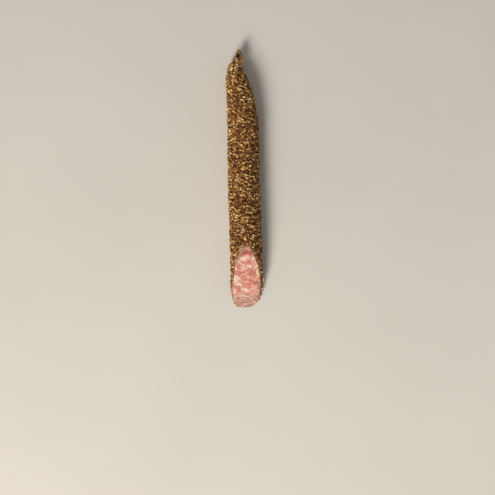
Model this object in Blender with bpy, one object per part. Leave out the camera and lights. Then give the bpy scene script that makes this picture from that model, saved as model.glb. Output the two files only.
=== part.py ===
"""A stick of cured sausage in a coat of cracked black pepper, cut off on a long slant at one end.

The stick lies along Y: its twisted end points to +Y, its slanted cut faces up and to -Y, and it
rests on the flat strip under it at Z = 0. The origin is at the bottom centre of its box. All
lengths are in metres.
"""

import math
import random

import bmesh
import bpy
from mathutils import Matrix, Vector, noise

# Driving dimensions of the stick
LENGTH = 0.2674  # from the tip of the twisted end to the foot of the cut
BODY_WIDTH = 0.0314  # across the body, under the standing pepper
BODY_HEIGHT = 0.0284  # from the table to the top of the body, under the standing pepper
WIDEST_AT = 0.36  # height of the widest line, as a share of the body's height
UNDERSIDE_SHIFT = -0.0022  # how far the underside has sagged sideways, in X, as it dried
TAPER = 0.037  # length over which the body swells from the twisted end
CUT_RUN = 0.0665  # length of the slanted cut, seen from above
PEPPER_SIZE = (0.0027, 0.0038)  # smallest and largest piece of pepper that is modelled singly

# The line that the stick follows, seen from above and from the side
BOW = 0.0032  # sideways drift of the body between its middle and the cut
BOW_STARTS = 0.110
BOW_RUN = 0.130
LEAN = 0.0104  # how far the tapered end leans to -X
LEAN_RUN = 0.046
END_LIFT = 0.009  # height that the underside reaches at the tip
LIFT_RUN = 0.060
BOX_MIDDLE_X = -0.0010  # brings the middle of the stick's box to X = 0

# The rounded shoulder, and the twisted neck that comes out of it beside its middle
SHOULDER_AT = 0.0115
SHOULDER_RUN = 0.005
NECK_RUN = 0.0125
NECK_RADIUS = 0.0051
NECK_ROOT_AT = 0.022  # the neck goes on this far from the tip, inside the body
NECK_OFFSET = (-0.0044, -0.0068)  # of its centre line in X, at the tip and at its root
NECK_HEIGHT = (0.0118, 0.0112)  # of its centre line in Z, at the tip and at its root
NECK_PLEATS = 5
PLEAT_DEPTH = 0.13
PLEAT_TWIST = 260.0  # radians of twist for each metre

# Surface relief
WAVE_DEPTH = 0.014  # slow swellings of the body, as a share of its radius
CRUST_DEPTH = 0.00055  # height of the crust's lumps
CRUST_LUMP = 0.0042  # size of the crust's lumps
SMOOTH_BELOW = 0.16  # share of the height under which the body is pressed smooth by lying

# Fineness of the meshes
RING_STEP = 0.0046
RING_POINTS = 28
NECK_RINGS = 8
NECK_POINTS = 20

# The pepper pieces
PEPPER_PLACES = 376
PEPPER_SEED = 4
PEPPER_JITTER = 0.06  # radians round the body
PEPPER_WRINKLE = 0.10  # depth of a whole peppercorn's wrinkles, as a share of its radius
PEPPER_MERGE = 0.30  # a corner this near another one of the same piece is worn away
PEPPER_SUNK = 0.07  # how far a piece's middle lies under the surface, as a share of its size
GOLDEN_ANGLE = math.pi * (3 - math.sqrt(5))
KNIFE_CLEARANCE = 0.0016  # pieces this near the cut, or nearer, were knocked off by the knife
REST_CLEARANCE = 0.0030  # no piece stands out where the stick is this near the table

# The cutters
OVERRUN = 0.006  # the body is modelled this far past the foot of the cut, and then cut
SUNK = 0.00035  # the body is modelled this far under the table, and then cut flat
CUTTER_SIZE = 0.4
WELD = 0.00002  # corners of the finished solid that are nearer are one corner

PEPPER_BROWN = (0.115, 0.062, 0.028, 1.0)
PEPPER_ROUGHNESS = 0.78


def clear_scene():
    """Removes every object that a new file comes with."""
    for obj in list(bpy.data.objects):
        bpy.data.objects.remove(obj, do_unlink=True)


def smooth_step(share):
    """0 below 0, 1 above 1, and an S-curve between them."""
    share = min(max(share, 0.0), 1.0)
    return share * share * (3.0 - 2.0 * share)


def swell(t):
    """How full the body is, from 0 to 1, at the distance t from the tip."""
    shoulder = min(max((t - SHOULDER_AT) / SHOULDER_RUN, 0.0), 1.0)
    return math.tanh(t / TAPER) * math.sqrt(1.0 - (1.0 - shoulder) ** 2)


def centre_x(t):
    """Sideways place of the body's middle at t: a slow bow, and a lean towards the tip."""
    bow = BOW * smooth_step((t - BOW_STARTS) / BOW_RUN)
    return BOX_MIDDLE_X + bow - LEAN * math.exp(-((t / LEAN_RUN) ** 2))


def underside(t):
    """Height of the body's lowest line at t, which lifts off the table near the tip."""
    return END_LIFT * max(1.0 - t / LIFT_RUN, 0.0) ** 2 - SUNK


def length_to_y(t):
    """Y of the section at the distance t from the tip."""
    return LENGTH / 2 - t


def body_section(angle, fullness):
    """X and Z on a section one half-width wide and one height tall, angle 0 being at +X.

    The upper part is half an ellipse. The lower part is squarer, because the stick dried lying
    down, and it turns round again where the body is thin.
    """
    across, up = math.cos(angle), math.sin(angle)
    if up >= 0.0:
        return across, WIDEST_AT + (1.0 - WIDEST_AT) * up
    power = 2.0 / (2.0 + 0.6 * fullness)
    side = math.copysign(abs(across) ** power, across)
    return side, WIDEST_AT * (1.0 - abs(up) ** power)


def slow_wave(t, angle):
    """Factor for the body's radius that makes it swell and sink a little along its length."""
    return 1.0 + WAVE_DEPTH * (
        0.6 * math.sin(t * 134.0 + 2.0 * angle) + 0.4 * math.sin(t * 217.0 - angle + 1.3)
    )


def body_point(t, angle):
    """The point of the body's skin at the distance t from the tip and this angle round it."""
    fullness = swell(t)
    side, rise = body_section(angle, fullness)
    wave = slow_wave(t, angle)
    low = max(1.0 - rise / WIDEST_AT, 0.0)
    middle = centre_x(t) + UNDERSIDE_SHIFT * fullness * low**2
    x = middle + side * wave * fullness * BODY_WIDTH / 2
    if rise > WIDEST_AT:
        rise = WIDEST_AT + (rise - WIDEST_AT) * wave
    z = underside(t) + rise * fullness * (BODY_HEIGHT + SUNK)
    return Vector((x, length_to_y(t), z))


def crust(point, share_up):
    """How far the crust of fine pepper stands out at this point of the body."""
    fade = smooth_step((share_up - SMOOTH_BELOW) / SMOOTH_BELOW)
    return CRUST_DEPTH * fade * noise.noise(point / CRUST_LUMP)


def skin_normal(t, angle):
    """Outward direction of the body's skin at a point, from two small steps along it."""
    step_t, step_angle = 0.0005, 0.02
    along = body_point(t + step_t, angle) - body_point(t - step_t, angle)
    around = body_point(t, angle + step_angle) - body_point(t, angle - step_angle)
    return around.cross(along).normalized()


def body_ring(t):
    """The points of one ring of the body, with the crust's lumps on them."""
    ring = []
    for i in range(RING_POINTS):
        angle = 2.0 * math.pi * i / RING_POINTS
        point = body_point(t, angle)
        share_up = (point.z - underside(t)) / BODY_HEIGHT
        ring.append(point + skin_normal(t, angle) * crust(point, share_up))
    return ring


def neck_ring(t):
    """The points of one ring of the twisted neck, with its pleats."""
    share = t / NECK_ROOT_AT
    radius = NECK_RADIUS * math.sqrt(min(t / NECK_RUN, 1.0))
    middle_x = BOX_MIDDLE_X + NECK_OFFSET[0] + (NECK_OFFSET[1] - NECK_OFFSET[0]) * share
    middle_z = NECK_HEIGHT[0] + (NECK_HEIGHT[1] - NECK_HEIGHT[0]) * share
    ring = []
    for i in range(NECK_POINTS):
        angle = 2.0 * math.pi * i / NECK_POINTS
        pleat = 1.0 + PLEAT_DEPTH * math.cos(NECK_PLEATS * angle + PLEAT_TWIST * t)
        ring.append(
            Vector(
                (
                    middle_x + radius * pleat * math.cos(angle),
                    length_to_y(t),
                    middle_z + radius * pleat * math.sin(angle),
                )
            )
        )
    return ring


def mesh_object(name, bm, collection):
    """An object that holds bm's mesh, in this collection, with its faces pointing out."""
    bmesh.ops.recalc_face_normals(bm, faces=bm.faces[:])
    mesh = bpy.data.meshes.new(name)
    bm.to_mesh(mesh)
    bm.free()
    obj = bpy.data.objects.new(name, mesh)
    collection.objects.link(obj)
    return obj


def close_end(bm, loop):
    """Closes a ring of vertices with a fan of triangles round a new vertex in its middle."""
    middle = bm.verts.new(sum((vert.co for vert in loop), Vector()) / len(loop))
    for vert, after in zip(loop, loop[1:] + loop[:1]):
        bm.faces.new((vert, after, middle))


def loft(name, rings, collection):
    """A closed solid over a row of rings that have the same number of points."""
    bm = bmesh.new()
    loops = [[bm.verts.new(point) for point in ring] for ring in rings]
    for first, second in zip(loops, loops[1:]):
        for i in range(len(first)):
            after = (i + 1) % len(first)
            bm.faces.new((first[i], first[after], second[after], second[i]))
    close_end(bm, loops[0])
    close_end(bm, loops[-1])
    return mesh_object(name, bm, collection)


def body_solid(collection):
    """The whole stick under its pepper, from the shoulder to past the foot of the cut."""
    shoulder = [SHOULDER_AT + SHOULDER_RUN * share for share in (0.05, 0.3, 0.65)]
    start = SHOULDER_AT + SHOULDER_RUN * 1.05
    steps = round((LENGTH + OVERRUN - start) / RING_STEP)
    body = [start + (LENGTH + OVERRUN - start) * i / steps for i in range(steps + 1)]
    return loft("peppered_sausage", [body_ring(t) for t in shoulder + body], collection)


def neck_solid(collection):
    """The twisted neck of bare casing, which ends in a blunt tip."""
    shares = [(i / NECK_RINGS) ** 1.5 for i in range(NECK_RINGS + 1)]
    rings = [neck_ring(NECK_ROOT_AT * max(share, 0.004)) for share in shares]
    return loft("neck", rings, collection)


def random_direction(rng):
    """A direction that is as likely as any other."""
    return Vector((rng.gauss(0, 1), rng.gauss(0, 1), rng.gauss(0, 1))).normalized()


def pepper_piece(name, size, rng, collection):
    """A broken peppercorn: a wrinkled ball of few faces that one or two flat breaks cut short."""
    ball = bmesh.new()
    bmesh.ops.create_icosphere(ball, subdivisions=1, radius=1.0)
    for vert in ball.verts:
        vert.co *= 1.0 + rng.uniform(-PEPPER_WRINKLE, PEPPER_WRINKLE)
    for _ in range(rng.choice((1, 1, 2))):
        break_dir = random_direction(rng)
        geometry = ball.verts[:] + ball.edges[:] + ball.faces[:]
        bmesh.ops.bisect_plane(
            ball,
            geom=geometry,
            plane_co=break_dir * rng.uniform(0.15, 0.6),
            plane_no=break_dir,
            clear_outer=True,
        )
    bmesh.ops.remove_doubles(ball, verts=ball.verts[:], dist=PEPPER_MERGE)
    squash = Vector((1.0, rng.uniform(0.75, 1.0), rng.uniform(0.6, 0.9)))
    points = [vert.co * squash for vert in ball.verts]
    ball.free()
    middle = sum(points, Vector()) / len(points)
    reach = max((point - middle).length for point in points)
    hull = bmesh.new()
    for point in points:
        hull.verts.new((point - middle) * (size / 2 / reach))
    result = bmesh.ops.convex_hull(hull, input=hull.verts[:])
    spare = {v for v in result["geom_interior"] + result["geom_unused"] if v in hull.verts[:]}
    bmesh.ops.delete(hull, geom=list(spare), context="VERTS")
    return mesh_object(name, hull, collection)


def clear_of_cut(point, size):
    """True where a piece of pepper at this point is still held behind the slanted cut."""
    slope = math.atan2(BODY_HEIGHT, CUT_RUN)
    behind = (point.y + LENGTH / 2) * math.sin(slope) - point.z * math.cos(slope)
    return behind > KNIFE_CLEARANCE and point.y > size - LENGTH / 2


def scatter_pepper(collection):
    """Pepper pieces over the coat, on a spiral that spaces them evenly, with some disorder."""
    rng = random.Random(PEPPER_SEED)
    first, last = SHOULDER_AT + SHOULDER_RUN, LENGTH
    for i in range(PEPPER_PLACES):
        t = first + (last - first) * (i + rng.uniform(0.0, 1.0)) / PEPPER_PLACES
        angle = i * GOLDEN_ANGLE + rng.uniform(-1.0, 1.0) * PEPPER_JITTER
        size = PEPPER_SIZE[0] + (PEPPER_SIZE[1] - PEPPER_SIZE[0]) * rng.random() ** 1.6
        turn = Matrix.Rotation(rng.uniform(0.0, 2.0 * math.pi), 4, random_direction(rng))
        point, normal = body_point(t, angle), skin_normal(t, angle)
        room = size * 0.5 * (1.0 if normal.z < 0.0 else 0.0) + REST_CLEARANCE
        if point.z < room or not clear_of_cut(point, size):
            continue
        piece = pepper_piece("pepper_%03d" % i, size, rng, collection)
        place = Matrix.Translation(point - normal * size * PEPPER_SUNK)
        piece.data.transform(place @ turn)


def box_cutter(name, matrix, collection):
    """A large box whose bottom face is the XY plane of this matrix."""
    bm = bmesh.new()
    bmesh.ops.create_cube(bm, size=CUTTER_SIZE, matrix=Matrix.Translation((0, 0, CUTTER_SIZE / 2)))
    cutter = mesh_object(name, bm, collection)
    cutter.data.transform(matrix)
    cutter.hide_render = True
    cutter.display_type = "WIRE"
    return cutter


def apply_booleans(obj):
    """Gives obj the mesh that its modifiers make, and takes the modifiers off."""
    bpy.context.view_layer.update()
    depsgraph = bpy.context.evaluated_depsgraph_get()
    mesh = bpy.data.meshes.new_from_object(obj.evaluated_get(depsgraph))
    obj.modifiers.clear()
    obj.data = mesh


def add_boolean(obj, name, operation, target):
    """A Boolean modifier on obj with another object, or with every object of a collection."""
    modifier = obj.modifiers.new(name, "BOOLEAN")
    modifier.operation = operation
    modifier.solver = "EXACT"
    if isinstance(target, bpy.types.Collection):
        modifier.operand_type = "COLLECTION"
        modifier.collection = target
    else:
        modifier.object = target


def connected_faces(start):
    """The face start and every face that can be reached from it over shared edges."""
    body, edge_front = {start}, [start]
    while edge_front:
        face = edge_front.pop()
        for edge in face.edges:
            for other in edge.link_faces:
                if other not in body:
                    body.add(other)
                    edge_front.append(other)
    return body


def keep_largest_body(obj):
    """Merges corners that almost meet, and drops any loose scrap that the cuts left."""
    bm = bmesh.new()
    bm.from_mesh(obj.data)
    bmesh.ops.remove_doubles(bm, verts=bm.verts[:], dist=WELD)
    left = set(bm.faces)
    bodies = []
    while left:
        bodies.append(connected_faces(next(iter(left))))
        left -= bodies[-1]
    bodies.sort(key=len)
    scraps = [face for body in bodies[:-1] for face in body]
    bmesh.ops.delete(bm, geom=scraps, context="FACES")
    bm.to_mesh(obj.data)
    bm.free()


def pepper_material():
    """The colour that the coat of cracked pepper has from a step away."""
    material = bpy.data.materials.new("pepper_coat")
    material.use_nodes = True
    shader = material.node_tree.nodes["Principled BSDF"]
    shader.inputs["Base Color"].default_value = PEPPER_BROWN
    shader.inputs["Roughness"].default_value = PEPPER_ROUGHNESS
    return material


def shade(obj):
    """Smooth shading, with an edge wherever the surface turns sharply."""
    for polygon in obj.data.polygons:
        polygon.use_smooth = True
    obj.data.set_sharp_from_angle(angle=math.radians(35.0))


def main():
    """Builds the stick as one solid."""
    clear_scene()
    scene_objects = bpy.context.scene.collection
    toppings = bpy.data.collections.new("toppings")
    scene_objects.children.link(toppings)
    stick = body_solid(scene_objects)
    neck_solid(toppings)
    scatter_pepper(toppings)
    add_boolean(stick, "fuse_toppings", "UNION", toppings)
    apply_booleans(stick)
    for obj in list(toppings.objects):
        bpy.data.objects.remove(obj, do_unlink=True)
    bpy.data.collections.remove(toppings)

    slope = math.atan2(BODY_HEIGHT, CUT_RUN)
    foot = Matrix.Translation((0.0, -LENGTH / 2, 0.0))
    knife = box_cutter("knife", foot @ Matrix.Rotation(slope, 4, "X"), scene_objects)
    floor = box_cutter("floor", Matrix.Rotation(math.pi, 4, "X"), scene_objects)
    add_boolean(stick, "slanted_cut", "DIFFERENCE", knife)
    add_boolean(stick, "resting_flat", "DIFFERENCE", floor)
    apply_booleans(stick)
    for cutter in (knife, floor):
        bpy.data.objects.remove(cutter, do_unlink=True)
    keep_largest_body(stick)
    stick.data.materials.clear()
    stick.data.materials.append(pepper_material())
    for polygon in stick.data.polygons:
        polygon.material_index = 0
    shade(stick)


main()
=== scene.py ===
"""Looks of a stick of cured sausage: its pepper coat, twisted casing and marbled slanted cut.

The stick lies along Y with its twisted end to +Y. Its form is the solid's own, worked out again
from the same sizes, in metres. t is the distance from the tip along the stick, and angle goes
round it, 0 at +X and a quarter turn at +Z.
"""

import enum
import itertools
import logging
import math
from collections.abc import Sequence
from dataclasses import dataclass, field, replace

import bpy
import numpy as np
from numpy.typing import NDArray
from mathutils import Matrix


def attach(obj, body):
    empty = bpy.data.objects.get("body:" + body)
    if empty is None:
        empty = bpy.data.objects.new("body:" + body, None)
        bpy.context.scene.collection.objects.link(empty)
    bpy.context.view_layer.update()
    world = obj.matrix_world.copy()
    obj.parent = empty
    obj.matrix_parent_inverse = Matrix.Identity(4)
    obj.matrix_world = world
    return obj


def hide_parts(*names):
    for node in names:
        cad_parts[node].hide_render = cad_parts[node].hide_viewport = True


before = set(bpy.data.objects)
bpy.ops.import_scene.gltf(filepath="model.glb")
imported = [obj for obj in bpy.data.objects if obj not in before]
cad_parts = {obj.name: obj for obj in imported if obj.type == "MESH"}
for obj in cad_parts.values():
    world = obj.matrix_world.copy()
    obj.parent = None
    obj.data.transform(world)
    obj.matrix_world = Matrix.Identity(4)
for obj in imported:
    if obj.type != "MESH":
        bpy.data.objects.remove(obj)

Array = NDArray[np.float64]
Indices = NDArray[np.int64]
Pair = tuple[float, float]
Vector = tuple[float, float, float]
Colour = tuple[float, float, float]
Stops = tuple[tuple[float, Colour], ...]
Spread = tuple[float, float, float]
Socket = bpy.types.NodeSocket

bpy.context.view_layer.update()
BODY = "root"
NODE = "peppered_sausage"

NEVER_SHARP = 180.0
HASH_PRIMES = (73856093, 19349663, 83492791)
HASH_SEED_STEP = 40503
HASH_FACTORS = (2246822519, 3266489917)
LOW_32_BITS = 0xFFFFFFFF
LOW_16_BITS = 0xFFFF
STEP_ALONG = 0.0003
STEP_ROUND = 0.01
TINY = 1e-12

log = logging.getLogger("peppered_sausage")


def smooth_step(share: Array) -> Array:
    """0 below 0, 1 above 1, and 3s^2 - 2s^3 between them."""
    share = np.clip(share, 0.0, 1.0)
    return share * share * (3.0 - 2.0 * share)


def full_turn(columns: int) -> Array:
    """This many evenly spaced angles."""
    return np.linspace(0.0, 2.0 * math.pi, columns, endpoint=False)


def lattice_noise(points: Array, size: float, seed: int) -> Array:
    """Smooth noise: a random value at each corner of a cubic lattice, blended between corners.

    Args:
        points: Places, with x, y and z in the last axis.
        size: The lattice's spacing.
        seed: Chooses the random values.

    Returns:
        One value from -1 to 1 for each point.
    """
    cell = np.floor(points / size).astype(np.int64)
    part = smooth_step(points / size - cell)
    total = np.zeros(points.shape[:-1])
    for corner in itertools.product((0, 1), repeat=3):
        key = (cell + corner) * HASH_PRIMES
        mixed = key[..., 0] ^ key[..., 1] ^ key[..., 2] ^ (seed * HASH_SEED_STEP)
        mixed = mixed & LOW_32_BITS
        mixed = ((mixed ^ (mixed >> 15)) * HASH_FACTORS[0]) & LOW_32_BITS
        mixed = ((mixed ^ (mixed >> 13)) * HASH_FACTORS[1]) & LOW_32_BITS
        value = ((mixed ^ (mixed >> 16)) & LOW_16_BITS) / (LOW_16_BITS / 2) - 1.0
        total += value * np.where(corner, part, 1.0 - part).prod(axis=-1)
    return total


def layered_noise(points: Array, size: float, seed: int, layers: int = 3) -> Array:
    """Lattice noise with finer layers on it, each half as large and half as strong."""
    total = sum(lattice_noise(points, size / 2**i, seed + i) / 2**i for i in range(layers))
    return total / (2.0 - 0.5 ** (layers - 1))


class Domain(enum.Enum):
    """What one value of a mesh attribute belongs to."""

    POINT = "POINT"
    FACE = "FACE"


class Seed(enum.IntEnum):
    """The number that each noise on a surface starts from, so that no two are alike."""

    MARBLING_ACROSS = 11
    MARBLING_UP = 12
    COAT = 21
    RAGGED = 22
    FACE = 31
    CRUST = 41
    CLUSTERS = 51


def wrapped_faces(rows: int, columns: int) -> tuple[Indices, Indices]:
    """Faces of rows of points that close on themselves, with a pole before and after them.

    Point 0 is the first pole, then come the rows, and the last point is the last pole. Rows that
    run to -Y, with columns that turn from +X to +Z, give faces that point outwards.

    Args:
        rows: Number of rows.
        columns: Number of points in a row.

    Returns:
        The quads between the rows, and the triangles round the two poles.
    """
    here = np.arange(columns)
    after = (here + 1) % columns
    start = 1 + np.arange(rows - 1)[:, None] * columns
    quads = np.stack(
        [start + here, start + after, start + columns + after, start + columns + here], axis=-1
    )
    last = 1 + (rows - 1) * columns
    first_pole = np.stack([np.zeros_like(here), 1 + after, 1 + here], axis=-1)
    last_pole = np.stack([np.full_like(here, last + columns), last + here, last + after], axis=-1)
    return quads.reshape(-1, 4), np.concatenate([first_pole, last_pole])


def mesh_object(
    name: str, points: Array, faces: Sequence[Indices], sharp: float = NEVER_SHARP
) -> bpy.types.Object:
    """Makes a mesh object at the origin, shaded smooth.

    Args:
        name: The object's name.
        points: Its points, in any shape that ends in x, y and z.
        faces: Arrays of faces, each array with one number of corners.
        sharp: Edges that turn by more than this many degrees are sharp.

    Returns:
        The new object, in the scene.
    """
    flat = np.ascontiguousarray(points.reshape(-1, 3), dtype=np.float32)
    corners = np.concatenate([group.ravel() for group in faces]).astype(np.int32)
    counts = np.concatenate([np.full(len(group), group.shape[1]) for group in faces])
    starts = np.concatenate([[0], np.cumsum(counts)[:-1]]).astype(np.int32)
    mesh = bpy.data.meshes.new(name)
    mesh.vertices.add(len(flat))
    mesh.vertices.foreach_set("co", flat.ravel())
    mesh.loops.add(len(corners))
    mesh.loops.foreach_set("vertex_index", corners)
    mesh.polygons.add(len(starts))
    mesh.polygons.foreach_set("loop_start", starts)
    mesh.polygons.foreach_set("use_smooth", np.ones(len(starts), dtype=bool))
    mesh.update(calc_edges=True)
    if sharp < NEVER_SHARP:
        mesh.set_sharp_from_angle(angle=math.radians(sharp))
    piece = bpy.data.objects.new(name, mesh)
    bpy.context.scene.collection.objects.link(piece)
    return piece


def ringed_object(name: str, first: Array, rings: Array, last: Array) -> bpy.types.Object:
    """Makes a mesh object of rings of points that close on a single point at each end."""
    points = np.concatenate([first[None], rings.reshape(-1, 3), last[None]])
    return mesh_object(name, points, wrapped_faces(*rings.shape[:2]))


def give_values(piece: bpy.types.Object, name: str, values: Array, domain: Domain) -> None:
    """Stores one number for each point or face of a piece, for its material to read."""
    layer = piece.data.attributes.new(name, "FLOAT", domain.value)
    layer.data.foreach_set("value", np.ascontiguousarray(values.ravel(), dtype=np.float32))


class Nodes:
    """A material and the nodes that are added to it. Each method returns a result's socket."""

    def __init__(self, name: str, roughness: float, specular: float = 0.5) -> None:
        """Starts a material from these settings of its Principled shader."""
        self.material = bpy.data.materials.new(name)
        self.material.use_nodes = True
        self.tree = self.material.node_tree
        self.shader = self.tree.nodes["Principled BSDF"]
        self.shader.inputs["Roughness"].default_value = roughness
        self.shader.inputs["Specular IOR Level"].default_value = specular
        self.place = self.tree.nodes.new("ShaderNodeTexCoord").outputs["Object"]

    def feed(self, socket: Socket, value: object) -> None:
        """Sets an input to a number or colour, or links it to another socket."""
        if isinstance(value, Socket):
            self.tree.links.new(value, socket)
        elif isinstance(value, tuple) and len(value) == 3 and socket.type == "RGBA":
            socket.default_value = (*value, 1.0)
        else:
            socket.default_value = value

    def attribute(self, name: str) -> Socket:
        """The piece's stored numbers of this name."""
        node = self.tree.nodes.new("ShaderNodeAttribute")
        node.attribute_name = name
        return node.outputs["Fac"]

    def stretched(self, scale: Vector, turn: Vector) -> Socket:
        """The place on the object, turned and then scaled along each axis."""
        turned = self.tree.nodes.new("ShaderNodeMapping")
        self.feed(turned.inputs["Vector"], self.place)
        turned.inputs["Rotation"].default_value = turn
        scaled = self.tree.nodes.new("ShaderNodeMapping")
        self.feed(scaled.inputs["Vector"], turned.outputs["Vector"])
        scaled.inputs["Scale"].default_value = scale
        return scaled.outputs["Vector"]

    def noise(self, size: float, detail: float = 3.0, place: Socket | None = None) -> Socket:
        """Noise from 0 to 1 whose lumps are about this size, in metres."""
        node = self.tree.nodes.new("ShaderNodeTexNoise")
        self.feed(node.inputs["Vector"], place or self.place)
        node.inputs["Scale"].default_value = 1.0 / size
        node.inputs["Detail"].default_value = detail
        return node.outputs["Fac"]

    def cells(self, size: float, output: str = "Distance") -> Socket:
        """Voronoi cells of this size, by distance from their middles or by a random colour."""
        node = self.tree.nodes.new("ShaderNodeTexVoronoi")
        self.feed(node.inputs["Vector"], self.place)
        node.inputs["Scale"].default_value = 1.0 / size
        return node.outputs[output]

    def sums(self, kind: str, *values: object) -> Socket:
        """A Math node of this kind over one to three values."""
        node = self.tree.nodes.new("ShaderNodeMath")
        node.operation = kind
        for socket, value in zip(node.inputs, values):
            self.feed(socket, value)
        return node.outputs[0]

    def sway(self, value: object, noise: Socket, reach: float) -> Socket:
        """The value, made up to half of reach larger or smaller by noise from 0 to 1."""
        return self.sums("ADD", value, self.sums("MULTIPLY_ADD", noise, reach, -reach / 2))

    def spread(self, value: Socket, low: float, high: float, top: float = 1.0) -> Socket:
        """0 where the value is under low, top where it is over high, and an S-curve between."""
        node = self.tree.nodes.new("ShaderNodeMapRange")
        node.interpolation_type = "SMOOTHSTEP"
        self.feed(node.inputs["Value"], value)
        node.inputs["From Min"].default_value = low
        node.inputs["From Max"].default_value = high
        node.inputs["To Max"].default_value = top
        return node.outputs["Result"]

    def ramp(self, factor: Socket, stops: Stops) -> Socket:
        """Colours by a factor, through these stops."""
        node = self.tree.nodes.new("ShaderNodeValToRGB")
        self.feed(node.inputs["Fac"], factor)
        band = node.color_ramp
        while len(band.elements) < len(stops):
            band.elements.new(0.5)
        for element, (position, colour) in zip(band.elements, stops):
            element.position = position
            element.color = (*colour, 1.0)
        return node.outputs["Color"]

    def mix(self, factor: object, first: object, second: object) -> Socket:
        """The first colour where the factor is 0, and the second where it is 1."""
        node = self.tree.nodes.new("ShaderNodeMix")
        node.data_type = "RGBA"
        self.feed(node.inputs[0], factor)
        self.feed(node.inputs[6], first)
        self.feed(node.inputs[7], second)
        return node.outputs[2]

    def finish(self, colour: object, height: Socket, depth: float) -> bpy.types.Material:
        """Puts the colour and a bump this deep on the shader, and returns the material."""
        self.feed(self.shader.inputs["Base Color"], colour)
        bump = self.tree.nodes.new("ShaderNodeBump")
        bump.inputs["Distance"].default_value = depth
        self.feed(bump.inputs["Height"], height)
        self.feed(self.shader.inputs["Normal"], bump.outputs["Normal"])
        return self.material


@dataclass(frozen=True)
class PepperFinish:
    """Broken peppercorns: dark wrinkled skins, and pale mealy kernels where they broke.

    The face attribute kernel is 0 on skin and 1 on a break. tone runs from a dark piece, 0, to a
    pale one, 1. tint runs from pieces with mauve skins, 0, to pieces with pinkish kernels, 1.
    greyed, blushed and mealy each hold from where, to where and how strongly a colour sets in.
    """

    name: str = "cracked_pepper"
    skins: Stops = (
        (0.0, (0.066, 0.015, 0.004)),
        (0.4, (0.225, 0.076, 0.019)),
        (0.75, (0.485, 0.222, 0.062)),
        (1.0, (0.730, 0.450, 0.145)),
    )
    kernels: Stops = (
        (0.0, (0.400, 0.185, 0.057)),
        (0.35, (0.680, 0.405, 0.125)),
        (0.7, (0.785, 0.590, 0.212)),
        (1.0, (0.850, 0.705, 0.340)),
    )
    pinkish: Colour = (0.720, 0.360, 0.200)
    mauve: Colour = (0.200, 0.092, 0.058)
    meal: Colour = (0.960, 0.860, 0.520)
    greyed: Spread = (0.6, 0.95, 0.7)
    blushed: Spread = (0.65, 1.0, 0.45)
    mealy: Spread = (0.4, 0.8, 0.3)
    wrinkle: float = 0.0005
    grain: float = 0.00025
    patchy: float = 0.7
    roughness: float = 0.68
    specular: float = 0.2
    bump: float = 0.00018

    def material(self) -> bpy.types.Material:
        """The finish as a material."""
        nodes = Nodes(self.name, self.roughness, self.specular)
        wrinkles = nodes.noise(self.wrinkle, detail=4.0)
        grains = nodes.noise(self.grain, detail=2.0)
        tone = nodes.sway(nodes.attribute("tone"), wrinkles, self.patchy)
        skin, kernel = nodes.ramp(tone, self.skins), nodes.ramp(tone, self.kernels)
        tint = nodes.attribute("tint")
        greyed = nodes.spread(nodes.sums("SUBTRACT", 1.0, tint), *self.greyed)
        skin = nodes.mix(greyed, skin, self.mauve)
        kernel = nodes.mix(nodes.spread(tint, *self.blushed), kernel, self.pinkish)
        kernel = nodes.mix(nodes.spread(grains, *self.mealy), kernel, self.meal)
        colour = nodes.mix(nodes.attribute("kernel"), skin, kernel)
        return nodes.finish(colour, wrinkles, self.bump)


@dataclass(frozen=True)
class CrustFinish:
    """Fine crushed pepper between the pieces, darkened as painted shade in the gaps between them,
    and the casing's line at the cut.

    The attribute layer is 0 on the outside and goes to 1 over the coat's section, inwards.
    """

    name: str = "crushed_pepper"
    # Real crushed pepper colours, whose near-black end is painted shade for the gaps between the
    # pieces.
    dust_and_gap_shade: Stops = (
        (0.1, (0.054, 0.013, 0.004)),
        (0.45, (0.150, 0.051, 0.016)),
        (0.75, (0.340, 0.148, 0.048)),
        (1.0, (0.700, 0.440, 0.160)),
    )
    casing: Colour = (0.52, 0.32, 0.20)
    casing_from: Spread = (0.70, 0.84, 1.0)
    grain: float = 0.0009
    clump: float = 0.003
    clumped: float = 0.6
    roughness: float = 0.8
    specular: float = 0.25
    bump: float = 0.00025

    def material(self) -> bpy.types.Material:
        """The finish as a material."""
        nodes = Nodes(self.name, self.roughness, self.specular)
        specks, clumps = nodes.cells(self.grain, "Color"), nodes.noise(self.clump)
        # Real dust mixed with painted shade: the dark specks stand in for shade between the pieces.
        dust_and_gap_shade = nodes.ramp(nodes.sway(specks, clumps, self.clumped), self.dust_and_gap_shade)
        line = nodes.spread(nodes.attribute("layer"), *self.casing_from)
        colour = nodes.mix(line, dust_and_gap_shade, self.casing)
        return nodes.finish(colour, nodes.cells(self.grain), self.bump)


class Marking(enum.Enum):
    """What a patch on the cut is. The order is that in which one covers another."""

    DULL = "dull"
    RED = "red"
    DARK = "dark"
    BLUSH = "blush"
    FAT = "fat"


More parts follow.
